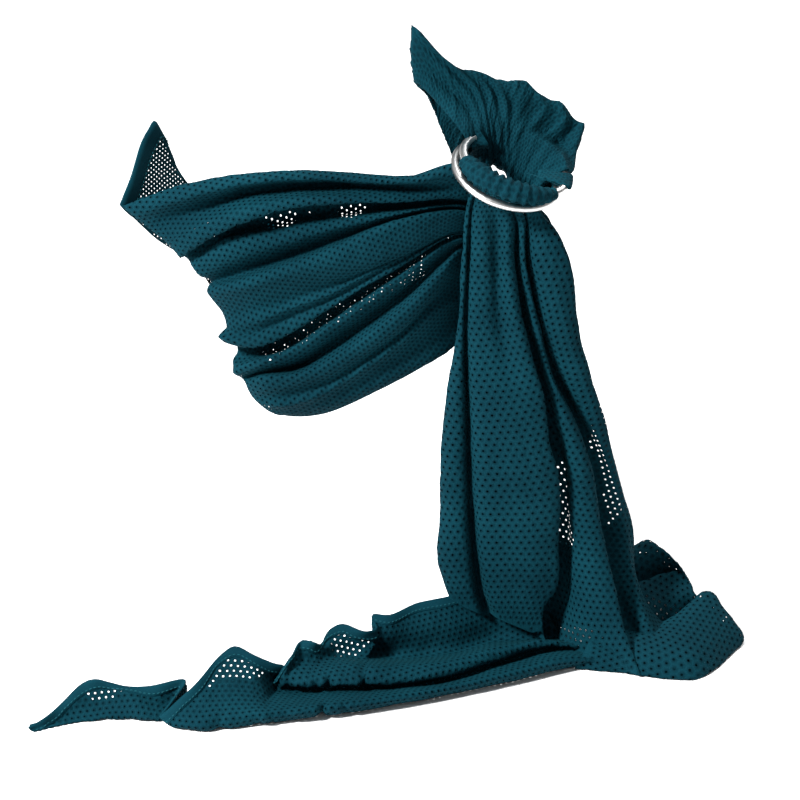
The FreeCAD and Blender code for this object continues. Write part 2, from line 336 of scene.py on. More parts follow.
def open_mesh(name, cloth, material, scale, marks, shut):
    """The cloth as a sheet with its holes cut, and its flat layout as the UV map.

    A scale below 1 is for cloth that is gathered more tightly than its folds show. The holes are
    pulled shut, to dimples, in the parts named by shut: (axis of marks, first, last) each. They are
    left out where a cell is trimmed to the cloth's edge.
    """
    centres = hole_centres(cloth, scale)
    keys = np.round(cell_corners(centres, scale).reshape(-1, 2) * JOIN_STEPS).astype(int)
    unique, owner = np.unique(keys, axis=0, return_inverse=True)
    place, inside = cloth.find(unique / JOIN_STEPS)
    owner = owner.reshape(-1, HOLE_CORNERS)
    kept = inside[owner].any(axis=1)
    owner, centres = owner[kept], centres[kept]
    whole = inside[owner].all(axis=1)
    middle = cloth.lift(cloth.find(centres)[0], marks)[whole]
    is_open = np.ones(len(middle), dtype=bool)
    for axis, first, last in shut:
        is_open &= (middle[:, axis] < first) | (middle[:, axis] > last)
    used, owner = np.unique(owner, return_inverse=True)
    owner = owner.reshape(-1, HOLE_CORNERS)
    rings = hole_ring(centres[whole], scale).reshape(-1, 2)
    flat = np.concatenate([unique[used] / JOIN_STEPS, rings])
    draped = np.concatenate([cloth.lift(place[used]), cloth.lift(cloth.find(rings)[0])])
    faces = [tuple(cell) for cell in owner[~whole].tolist()]
    faces += cell_faces(owner[whole].tolist(), is_open, len(used))
    obj = mesh_object(name, placed(draped), faces, material)
    layer = obj.data.uv_layers.new(name="cloth")
    loops = np.zeros(len(obj.data.loops), dtype=int)
    obj.data.loops.foreach_get("vertex_index", loops)
    layer.data.foreach_set("uv", (flat[loops] * MM).ravel())
    # rim is 1 on the holes' rings and 0 at the cell corners: the cloth materials paint shade with it at
    # the hole rims and over a shut hole's dimple, and dip the bump there.
    rim = obj.data.attributes.new("rim", "FLOAT", "POINT")
    rim.data.foreach_set("value", np.concatenate([np.zeros(len(used)), np.ones(len(rings))]))
    return obj


# --- hems and stitches ---------------------------------------------------------------------------

HEM_WIDTH = 9.0
HEM_HALF_THICKNESS = 0.8
STITCH_PITCH = 3.6
STITCH_LENGTH = 2.6
THREAD_RADIUS = 0.45
THREAD_SIDES = 6
THREAD_RINGS = 5


def edge_strip(grid, last, distances):
    """Points and normals at distances in from a grid's first or last fold line."""
    flow = grid[::-1] if last else grid
    side = normals(grid)[::-1] if last else normals(grid)
    gaps = np.linalg.norm(np.diff(flow, axis=0), axis=-1)
    reach = np.concatenate([np.zeros((1, grid.shape[1])), np.cumsum(gaps, axis=0)])
    points = np.zeros((len(distances), grid.shape[1], 3))
    away = np.zeros_like(points)
    rows = np.arange(len(flow))
    for j in range(grid.shape[1]):
        where = np.interp(distances, reach[:, j], rows)
        for axis in range(3):
            points[:, j, axis] = np.interp(where, rows, flow[:, j, axis])
            away[:, j, axis] = np.interp(where, rows, side[:, j, axis])
    return points, away


def tube_faces(around, along):
    faces = []
    for j in range(along - 1):
        for k in range(around):
            n = (k + 1) % around
            a, b = j * around, (j + 1) * around
            faces.append((a + k, a + n, b + n, b + k))
    faces.append(tuple(range(around))[::-1])
    faces.append(tuple((along - 1) * around + k for k in range(around)))
    return faces


def hem_piece(name, grid, last, start=0.0, width=HEM_WIDTH):
    """A folded hem: a flat closed band over the cloth's edge, from a share of the edge's length on."""
    grid = grid[:, int(start * (grid.shape[1] - 1)):]
    inward = np.array([-0.6, 0.3, width * 0.35, width * 0.7, width - 0.5, width])
    lift = HEM_HALF_THICKNESS * np.array([0.3, 1.0, 1.0, 1.0, 0.9, 0.3])
    points, away = edge_strip(grid, last, np.maximum(inward, 0))
    top = points + away * lift[:, None, None]
    bottom = points - away * lift[:, None, None]
    loop = np.concatenate([top, bottom[::-1]])
    verts = loop.transpose(1, 0, 2).reshape(-1, 3)
    return mesh_object(name, placed(verts), tube_faces(len(loop), grid.shape[1]), HEM_CLOTH)


def stitch_row(path, away):
    """Short thread loops laid along a path, as vertex and face lists."""
    lengths = np.concatenate([[0], np.cumsum(np.linalg.norm(np.diff(path, axis=0), axis=1))])
    verts, faces = [], []
    start = STITCH_PITCH / 2
    while start + STITCH_LENGTH < lengths[-1]:
        base = len(verts)
        for ring in range(THREAD_RINGS):
            share = ring / (THREAD_RINGS - 1)
            at = start + share * STITCH_LENGTH
            centre = np.array([np.interp(at, lengths, path[:, k]) for k in range(3)])
            up = np.array([np.interp(at, lengths, away[:, k]) for k in range(3)])
            ahead = np.array([np.interp(at + 0.2, lengths, path[:, k]) for k in range(3)]) - centre
            across = np.cross(up, ahead)
            across /= max(np.linalg.norm(across), 1e-9)
            arch = math.sin(math.pi * share)
            thick = THREAD_RADIUS * (0.45 + 0.55 * arch)
            centre = centre + up * (0.35 * arch - 0.1)
            for k in range(THREAD_SIDES):
                angle = 2 * math.pi * k / THREAD_SIDES
                verts.append(centre + thick * (math.cos(angle) * across + math.sin(angle) * up))
        faces += [tuple(base + i for i in face) for face in tube_faces(THREAD_SIDES, THREAD_RINGS)]
        start += STITCH_PITCH
    return verts, faces


def stitches_piece(name, rows):
    verts, faces = [], []
    for path, away in rows:
        more, more_faces = stitch_row(path, away)
        faces += [tuple(len(verts) + i for i in face) for face in more_faces]
        verts += more
    return mesh_object(name, placed(np.array(verts)), faces, THREAD)


def hem_stitch_row(grid, last, from_edge, side):
    """The path and the outward direction of a row of stitches, on one side of a hem."""
    points, away = edge_strip(grid, last, np.array([from_edge]))
    return points[0] + side * away[0] * HEM_HALF_THICKNESS, side * away[0]


# --- materials -----------------------------------------------------------------------------------

class Finish:
    """A material being made, and the nodes added to it."""

    def __init__(self, name):
        self.material = bpy.data.materials.new(name)
        self.material.use_nodes = True
        self.tree = self.material.node_tree

    def fill(self, node, inputs):
        """Gives each named input its value, or the output that it takes its value from."""
        for name, value in inputs.items():
            if isinstance(value, bpy.types.NodeSocket):
                self.tree.links.new(value, node.inputs[name])
            else:
                node.inputs[name].default_value = value
        return node

    def add(self, kind, inputs=(), **settings):
        node = self.tree.nodes.new("ShaderNode" + kind)
        for setting, value in settings.items():
            setattr(node, setting, value)
        return self.fill(node, dict(inputs))

    def done(self, inputs):
        self.fill(self.tree.nodes["Principled BSDF"], inputs)
        return self.material


# Painted shade: the colour at the rim of each hole, and over a shut hole's dimple, is multiplied darker,
# standing in for the shade where the cloth dips into the hole.
RIM_PAINTED_SHADE = (0.5, 0.55, 0.57, 1)        # multiplies the colour at the rim of each hole
COURSES_PER_RIB = 1.27
CREASE_STRETCH = (240, 16, 1)           # creases across and along a metre of cloth


def cloth_material(name, deep, light, rib_scale, rib_strength, creases=0.0):
    """A knitted cloth: fine ribs, painted shade at the rim of each hole, uneven dye and a slight sheen.

    The creases run the way the cloth runs, and are finer than its folds.
    """
    finish = Finish(name)
    flat = finish.add("UVMap", uv_map="cloth").outputs["UV"]
    place = finish.add("TexCoord").outputs["Object"]
    blotches = finish.add("TexNoise", {"Scale": 22, "Detail": 4, "Vector": place})
    fibres = finish.add("TexNoise", {"Scale": 1500, "Detail": 3, "Vector": place})
    dye = finish.add("Mix", {"Factor": 0.45, "A": blotches.outputs["Fac"], "B": fibres.outputs["Fac"]})
    ramp = finish.add("ValToRGB", {"Fac": dye.outputs["Result"]})
    for stop, position, colour in zip(ramp.color_ramp.elements, (0.36, 0.64), (deep, light)):
        stop.position = position
        stop.color = (*colour, 1)
    # Painted shade at the hole rims: the rim attribute multiplies the colour darker there.
    rim = finish.add("Attribute", attribute_name="rim").outputs["Fac"]
    colour = finish.add("Mix", {"Factor": rim, "A": ramp.outputs["Color"], "B": RIM_PAINTED_SHADE},
                        data_type="RGBA", blend_type="MULTIPLY")
    waves = {}
    for direction, scale in (("X", rib_scale), ("Y", rib_scale * COURSES_PER_RIB)):
        wave = finish.add("TexWave", {"Scale": scale, "Distortion": 0.6, "Vector": flat},
                          bands_direction=direction)
        waves[len(waves)] = wave.outputs["Fac"]
    knit = finish.add("Math", waves, operation="MULTIPLY")
    dip = finish.add("Math", {0: rim, 1: -1.6, 2: knit.outputs["Value"]}, operation="MULTIPLY_ADD")
    bump = finish.add("Bump", {"Strength": rib_strength, "Distance": 0.0004,
                               "Height": dip.outputs["Value"]})
    if creases:
        stretch = finish.add("Mapping", {"Scale": CREASE_STRETCH, "Vector": flat})
        folds = finish.add("TexNoise", {"Scale": 1.0, "Detail": 2, "Vector": stretch.outputs["Vector"]})
        crease = finish.add("Bump", {"Strength": creases, "Distance": 0.004,
                                     "Height": folds.outputs["Fac"]})
        finish.fill(bump, {"Normal": crease.outputs["Normal"]})
    return finish.done({"Base Color": colour.outputs["Result"], "Roughness": 0.8,
                        "Specular IOR Level": 0.03, "Sheen Weight": 0.02, "Sheen Roughness": 0.45,
                        "Sheen Tint": (0.1, 0.7, 0.85, 1), "Normal": bump.outputs["Normal"]})


def metal_material():
    """Cast aluminium with a satin finish and faint handling marks."""
    finish = Finish("satin_ring")
    place = finish.add("TexCoord").outputs["Object"]
    marks = finish.add("TexNoise", {"Scale": 260, "Detail": 5, "Vector": place}).outputs["Fac"]
    rough = finish.add("MapRange", {"To Min": 0.22, "To Max": 0.42, "Value": marks})
    bump = finish.add("Bump", {"Strength": 0.06, "Distance": 0.0002, "Height": marks})
    return finish.done({"Base Color": (0.66, 0.66, 0.65, 1), "Metallic": 1.0,
                        "Roughness": rough.outputs["Result"], "Normal": bump.outputs["Normal"]})


def floor_material():
    return Finish("pale_floor").done({"Base Color": (0.92, 0.92, 0.92, 1), "Roughness": 0.9,
                                      "Specular IOR Level": 0.1})


MESH_CLOTH = cloth_material("mesh_knit", (0.0009, 0.018, 0.027), (0.002, 0.030, 0.043), 320, 0.5, 0.25)
GATHERED_CLOTH = cloth_material("gathered_knit", (0.0009, 0.019, 0.028), (0.002, 0.031, 0.044), 320,
                                0.5, 0.9)
HEM_CLOTH = cloth_material("hem_knit", (0.0009, 0.017, 0.026), (0.002, 0.028, 0.040), 320, 0.4)
THREAD = cloth_material("seam_thread", (0.006, 0.045, 0.058), (0.009, 0.066, 0.084), 900, 0.2)
RING_METAL = metal_material()


# --- fold lines, in design millimetres ---------------------------------------------------------------

# The carrying panel's front, from its upper rail down; each line runs left from the rings.
FRONT_FOLDS = [
    # up again behind the top edge
    [(48, 8, 398), (0, 2, 388), (-60, 0, 391), (-110, 0, 388), (-160, 0, 378), (-198, -2, 364)],
    # the top edge, turned down behind
    [(48, 2, 380), (0, -2, 372), (-46, -4, 371), (-93, -5, 367), (-139, -5, 358), (-186, -4, 352)],
    # top edge
    [(48, -4, 403), (8, -10, 395), (-68, -14, 401), (-119, -14, 398), (-170, -14, 388), (-215, -14, 372)],
    # first ridge
    [(48, -6, 393), (8, -22, 393), (-68, -26, 398), (-118, -26, 394), (-170, -25, 381), (-209, -16, 366)],
    # its dimple
    [(49, -2, 381), (0, -10, 386), (-68, -6, 385), (-115, -6, 381), (-154, -14, 369), (-196, -14, 354)],
    # second ridge
    [(49, -4, 376), (0, -22, 380), (-50, -29, 383), (-95, -31, 380), (-142, -30, 364), (-180, -15, 341)],
    # its lip
    [(49, -2, 372), (0, -20, 376), (-50, -29, 378), (-95, -31, 372), (-142, -30, 352), (-170, -15, 328)],
    # tucked up behind
    [(50, 4, 377), (0, -8, 380), (-51, -12, 382), (-96, -13, 377), (-135, -14, 366), (-174, -8, 332)],
    # and down again
    [(50, 5, 372), (0, -4, 374), (-51, -6, 373), (-96, -7, 368), (-135, -8, 356), (-168, -6, 327)],
    # floor of the long dark valley
    [(50, 4, 367), (0, -5, 367), (-51, -6, 363), (-89, -6, 357), (-138, -12, 344), (-164, -12, 325)],
    # third fold's top
    [(50, 2, 366), (0, -15, 368), (-51, -19, 362), (-88, -20, 355), (-137, -20, 345), (-161, -15, 320)],
    # third ridge
    [(50, 0, 365), (0, -20, 367), (-51, -25, 357), (-88, -26, 347), (-131, -25, 333), (-156, -15, 313)],
    # dark fold under it
    [(50, 4, 361), (0, -10, 359), (-51, -13, 342), (-89, -13, 327), (-124, -14, 315), (-146, -12, 308)],
    # fourth ridge's top
    [(50, -4, 362), (0, -26, 364), (-51, -31, 344), (-89, -32, 329), (-124, -30, 316), (-149, -16, 305)],
    # fourth ridge
    [(49, -5, 355), (0, -28, 350), (-51, -35, 335), (-88, -36, 324), (-123, -34, 312), (-150, -17, 301)],
    # its lower edge
    [(48, -4, 347), (0, -26, 336), (-51, -31, 321), (-89, -32, 314), (-120, -30, 303), (-145, -15, 291)],
    # shade
    [(47, -2, 346), (0, -20, 331), (-51, -23, 309), (-89, -24, 294), (-117, -25, 287), (-139, -14, 281)],
    # small ridge
    [(47, -3, 345), (0, -22, 332), (-51, -28, 305), (-85, -29, 292), (-117, -28, 279), (-136, -15, 271)],
    # crease
    [(47, 0, 343), (0, -18, 328), (-51, -22, 299), (-86, -22, 283), (-117, -23, 268), (-137, -14, 267)],
    # ridge with the small ear
    [(47, -3, 344), (0, -22, 326), (-51, -28, 295), (-86, -29, 277), (-117, -28, 266), (-143, -17, 262)],
    # its lip
    [(48, 0, 342), (0, -20, 323), (-51, -26, 293), (-86, -28, 269), (-113, -27, 257), (-133, -15, 256)],
    # tucked up behind, as far as the first valley
    [(50, 8, 374), (14, 5, 376), (-14, 4, 374), (-30, 3, 358), (-44, 2, 356), (-54, 2, 372), (-62, 2, 370),
     (-68, 2, 357), (-75, 2, 368), (-84, 2, 350), (-100, 1, 346), (-112, 0, 362), (-140, -1, 346),
     (-156, -2, 322)],
    # and down again
    [(48, 6, 343), (0, -3, 324), (-52, -4, 295), (-87, -5, 276), (-109, -6, 257), (-128, -6, 245)],
    # floor of the second dark valley
    [(48, 4, 339), (0, -5, 315), (-52, -6, 279), (-87, -6, 252), (-112, -12, 246), (-132, -12, 240)],
    # fifth ridge
    [(49, -3, 340), (0, -25, 316), (-51, -31, 281), (-86, -31, 258), (-111, -29, 248), (-132, -16, 236)],
    # its lower side
    [(49, -3, 339), (0, -22, 306), (-51, -28, 271), (-86, -29, 249), (-111, -28, 241), (-132, -17, 231)],
    # third dark valley
    [(50, 5, 333), (35, -2, 323), (0, -12, 293), (-52, -14, 255), (-79, -14, 235), (-109, -14, 230),
     (-126, -13, 225)],
    # sixth ridge's top
    [(50, 0, 330), (31, -20, 319), (0, -31, 291), (-51, -34, 252), (-78, -34, 239), (-108, -30, 234),
     (-123, -17, 223)],
    # sixth ridge
    [(49, -2, 319), (27, -22, 301), (0, -31, 277), (-52, -34, 241), (-82, -34, 230), (-106, -30, 224),
     (-120, -17, 215)],
    # dark fold
    [(49, 0, 300), (27, -14, 292), (0, -22, 267), (-52, -26, 230), (-82, -26, 217), (-103, -25, 213),
     (-117, -16, 209)],
    # seventh ridge
    [(48, -3, 289), (27, -18, 285), (0, -27, 263), (-52, -30, 226), (-82, -30, 212), (-99, -27, 208),
     (-113, -17, 205)],
    # dark fold
    [(47, 0, 274), (20, -12, 259), (-9, -19, 239), (-52, -24, 215), (-79, -24, 204), (-95, -22, 202),
     (-108, -16, 200)],
    # bottom ridge
    [(45, -3, 257), (20, -14, 242), (-9, -20, 228), (-52, -21, 205), (-76, -20, 198), (-91, -19, 197),
     (-102, -15, 196)],
    # bottom edge
    [(43, -2, 248), (20, -9, 234), (-9, -12, 218), (-53, -12, 196), (-77, -12, 191), (-89, -12, 192),
     (-97, -12, 193)],
    # turned up behind
    [(46, 4, 270), (20, 0, 256), (-9, -2, 238), (-53, -3, 215), (-77, -3, 205), (-88, -4, 204),
     (-94, -5, 204)],
    # as far as the second valley
    [(50, 10, 330), (20, 6, 306), (-5, 5, 292), (-52, 4, 264), (-84, 2, 242), (-106, 0, 234),
     (-122, -2, 228)],
    # and down again
    [(46, 12, 246), (20, 9, 228), (-9, 8, 210), (-53, 7, 190), (-77, 6, 185), (-89, 4, 187),
     (-95, 2, 189)],
]

# The gather above the rings, from its left edge round to its right: a pleat's angle round the rings
# from their front, the point inside them from which it rises, and its way up the fan.
SHOULDER_PLEATS = [
    (249, (54, 32, 395), [(32, 33, 434), (21, 40, 445), (14, 43, 451)]),
    (238, (56, 30, 394), [(46, 33, 436), (29, 37, 448), (10, 43, 459)]),
    (232, (59, 32, 392), [(51, 40, 436), (36, 42, 451), (9, 44, 468)]),
    (226, (62, 29, 391), [(54, 36, 441), (37, 38, 460), (8, 44, 482)]),
    # the standing point
    (221, (66, 31, 385), [(57, 40, 445), (36, 42, 466), (8, 45, 501)]),
    (217, (69, 28, 385), [(60, 36, 448), (42, 38, 466), (12.5, 44, 489)]),
    (214, (70.5, 30, 387), [(62, 39, 448), (46, 41, 463), (18, 44, 479)]),
    (212, (72, 31, 390), [(65, 40, 448), (50, 42, 460), (31.7, 44, 470)]),
    (208, (75, 28, 389), [(70, 37, 446), (62, 39, 457), (44, 43, 463)]),
    (203, (78, 31, 386), [(75, 40, 440), (69, 41, 452), (56, 44, 462)]),
    (199, (81, 28, 386), [(81, 37, 438), (77, 38, 449), (67, 43, 459)]),
    (195, (84, 30, 379), [(87, 40, 434), (85, 41, 446), (78, 44, 454)]),
    (190, (87, 27, 372), [(93, 37, 430), (95, 38, 443), (88, 43, 454)]),
    (184, (89, 30, 369), [(101, 40, 426), (106, 41, 439), (98, 44, 453)]),
    (178, (91, 27, 369), [(107, 37, 422), (113, 38, 435), (104, 43, 447)]),
    (169, (93, 30, 368), [(113, 40, 413), (121, 41, 428), (112, 44, 441)]),
    (161, (95, 27, 368), [(118, 36, 411), (129, 37, 423), (124, 43, 437)]),
    (153, (96, 30, 369), [(124, 38, 404), (134, 41, 416), (131, 44, 429)]),
    (145, (98, 27, 369), [(130, 33, 402), (137, 36, 410), (144, 42, 419)]),
    (136, (99, 29, 367), [(131, 22, 400), (137, 29, 402), (142, 40, 407)]),
    (127, (101, 26, 369), [(131, 10, 396), (136, 20, 396), (137, 34, 397)]),
    (118, (105, 22, 370), [(131, 3, 392), (135, 12, 391), (134, 26, 391)]),
]

# The angles of the pleats of the small tab, which goes round the back ring's bar at its right.
TAB_PLEATS = (110, 101, 92, 82)

# The hanging tail, from left to right; each line runs down from the roll.
TAIL_FOLDS = [
    # a hidden fold behind the main panel: its edge
    [(62, 4, 372), (60, 6, 320), (57, 8, 260), (54, 8, 200), (52, 8, 140), (52, 8, 80), (54, -4, 28),
     (58, -14, 5)],
    # and how far it reaches
    [(106, 0, 370), (108, 1, 357), (120, 4, 325), (128, 6, 280), (140, 8, 235), (152, 10, 200),
     (154, 12, 160), (146, 12, 147), (124, 12, 136), (122, 12, 104), (126, 11, 74), (152, 6, 58),
     (166, -4, 34), (170, -26, 6)],
    # left edge
    [(52, -10, 375), (48, -14, 325), (46, -18, 277), (36, -22, 210), (32, -27, 155), (31, -32, 99),
     (30, -34, 71), (39, -36, 42)],
    # left strip
    [(53, -13, 375), (49, -21, 327), (46, -26, 272), (41, -31, 214), (39, -36, 159), (40, -41, 104),
     (43, -45, 65), (52, -46, 36)],
    [(54, -14, 374), (51, -22, 326), (49, -27, 270), (50, -32, 206), (51, -37, 146), (54, -42, 86),
     (59, -46, 50), (66, -47, 30)],
    # crease
    [(55, -7, 372), (53, -8, 324), (52, -10, 269), (54, -14, 202), (56, -20, 141), (60, -24, 80),
     (65, -30, 45), (71, -36, 26)],
    # main panel
    [(58, -15, 373), (56, -22, 328), (55, -30, 274), (58, -38, 209), (61, -43, 150), (66, -48, 90),
     (72, -50, 50), (79, -48, 27)],
    [(65, -17, 371), (67, -25, 329), (69, -33, 275), (76, -42, 220), (81, -48, 166), (86, -52, 110),
     (90, -54, 57), (96, -52, 21)],
    # soft crease
    [(74, -15, 367), (76, -20, 327), (78, -27, 286), (89, -42, 228), (98, -50, 167), (103, -54, 111),
     (106, -56, 58), (108, -54, 17)],
    [(81, -18, 367), (83, -26, 330), (88, -34, 289), (101, -42, 245), (110, -46, 204), (116, -50, 154),
     (120, -53, 101), (117, -54, 57), (113, -55, 20)],
    # its lip
    [(87, -15, 364), (89, -22, 328), (95, -30, 287), (107, -38, 242), (114, -40, 220), (118, -42, 182),
     (127, -44, 151), (127, -47, 103), (126, -50, 54), (114, -52, 35), (118, -54, 10)],
    # tucked behind
    [(86, -12, 364), (85, -12, 324), (85, -12, 266), (83, -16, 207), (80, -20, 152), (82, -24, 95),
     (90, -30, 43), (102, -40, 16)],
    # and out again
    [(88, -9, 362), (89, -8, 322), (93, -8, 265), (103, -10, 205), (112, -14, 149), (118, -18, 92),
     (120, -24, 41), (124, -30, 4)],
    # valley floor
    [(90, -10, 361), (91, -12, 324), (99, -14, 280), (110, -16, 238), (121, -18, 200), (131, -20, 152),
     (135, -24, 95), (134, -34, 47), (131, -50, 3)],
    # middle fold
    [(91, -14, 363), (93, -20, 327), (101, -24, 284), (112, -28, 240), (123, -31, 200),
     (134, -35, 158), (138, -38, 111), (140, -46, 71), (143, -56, 36), (146, -66, 3)],
    [(93, -16, 363), (96, -24, 328), (104, -29, 285), (116, -33, 239), (129, -38, 202),
     (142, -42, 161), (148, -46, 114), (154, -56, 74), (162, -70, 34), (169, -80, 3)],
    # its right edge
    [(96, -14, 363), (98, -20, 327), (107, -24, 284), (120, -28, 236), (137, -32, 200),
     (152, -36, 159), (161, -40, 113), (170, -54, 72), (182, -76, 28), (192, -98, 3)],
    # tucked behind the middle fold
    [(93, -8, 362), (94, -10, 325), (100, -13, 284), (110, -14, 238), (121, -14, 200),
     (131, -16, 156), (136, -20, 112), (143, -30, 74), (156, -44, 34), (170, -60, 6)],
    # and out again
    [(96, -6, 361), (98, -8, 324), (108, -11, 283), (121, -10, 236), (137, -10, 197),
     (152, -10, 152), (162, -14, 106), (170, -26, 68), (182, -46, 28), (196, -78, 4)],
    # second valley
    [(98, -11, 362), (100, -14, 325), (109, -18, 282), (123, -18, 235), (143, -16, 194),
     (163, -14, 149), (173, -18, 101), (181, -32, 60), (196, -62, 22), (214, -88, 3)],
    # right panel
    [(102, -15, 364), (105, -24, 329), (116, -28, 286), (130, -28, 239), (151, -24, 189),
     (169, -18, 146), (180, -18, 101), (189, -32, 59), (204, -64, 22), (224, -92, 4)],
    [(105, -15, 367), (111, -18, 355), (117, -26, 330), (127, -30, 287), (139, -30, 247), (157, -24, 194),
     (172, -17, 146), (184, -14, 99), (193, -24, 52), (210, -52, 20), (236, -84, 5)],
    # right edge
    [(109, -11, 370), (110, -12, 363), (119, -15, 354), (132, -20, 327), (139, -22, 279), (148, -22, 241),
     (162, -18, 196), (175, -12, 143), (189, -8, 91), (195, -12, 36), (214, -34, 16), (246, -66, 5)],
    # turned behind
    [(108, -7, 370), (109, -7, 363), (116, -8, 354), (125, -8, 322), (130, -8, 273), (138, -6, 233),
     (150, -2, 189), (169, 4, 140), (184, 6, 88), (182, 4, 34), (206, -18, 10), (240, -50, 3)],
    [(104, -2, 371), (106, 2, 321), (108, 6, 270), (112, 8, 229), (120, 10, 196), (158, 12, 176),
     (168, 12, 155), (178, 12, 120), (184, 12, 88), (154, 10, 70), (150, 8, 40), (180, -10, 8),
     (222, -42, 2)],
    # and back again
    [(108, 2, 370), (109, 3, 363), (116, 4, 354), (126, 5, 322), (134, 8, 273), (144, 10, 233),
     (152, 12, 189), (170, 14, 140), (184, 16, 88), (184, 14, 30), (204, -6, 6), (232, -34, 2)],
]

# The loop's left turn and the band behind, from the upper rail down; each line runs round to the strip.
BACK_FOLDS = [
    # the hemmed rail, up to the standing corner and down behind
    [(-216, -13, 372), (-206, 4, 393), (-200, 18, 410), (-195, 27, 419), (-191, 33, 424), (-187, 39, 412),
     (-180, 46, 390), (-166, 52, 362), (-110, 64, 328), (-40, 73, 312), (20, 78, 324), (40, 80, 330)],
    [(-213, -11, 367), (-198, 12, 383), (-190, 28, 398), (-181, 40, 398), (-172, 48, 370), (-150, 54, 344),
     (-110, 64, 318), (-40, 73, 303), (20, 78, 314), (38, 80, 316)],
    [(-206, -6, 358), (-188, 16, 360), (-176, 34, 362), (-164, 46, 350), (-146, 53, 328), (-110, 62, 303),
     (-40, 71, 289), (20, 77, 299), (38, 80, 300)],
    [(-188, -2, 338), (-172, 18, 332), (-156, 38, 322), (-140, 49, 308), (-105, 61, 286), (-40, 68, 274),
     (20, 75, 284), (38, 80, 284)],
    [(-160, 0, 316), (-148, 20, 302), (-134, 40, 290), (-105, 59, 266), (-40, 70, 256), (20, 77, 268),
     (38, 80, 268)],
    [(-144, 0, 290), (-134, 20, 278), (-122, 42, 264), (-100, 57, 246), (-40, 66, 238), (20, 74, 250),
     (38, 80, 252)],
    [(-128, 0, 258), (-122, 20, 250), (-112, 40, 240), (-96, 55, 228), (-40, 68, 220), (20, 76, 236),
     (38, 80, 240)],
    [(-112, 2, 226), (-110, 18, 226), (-106, 36, 220), (-92, 52, 214), (-40, 65, 208), (20, 74, 224),
     (38, 80, 230)],
]

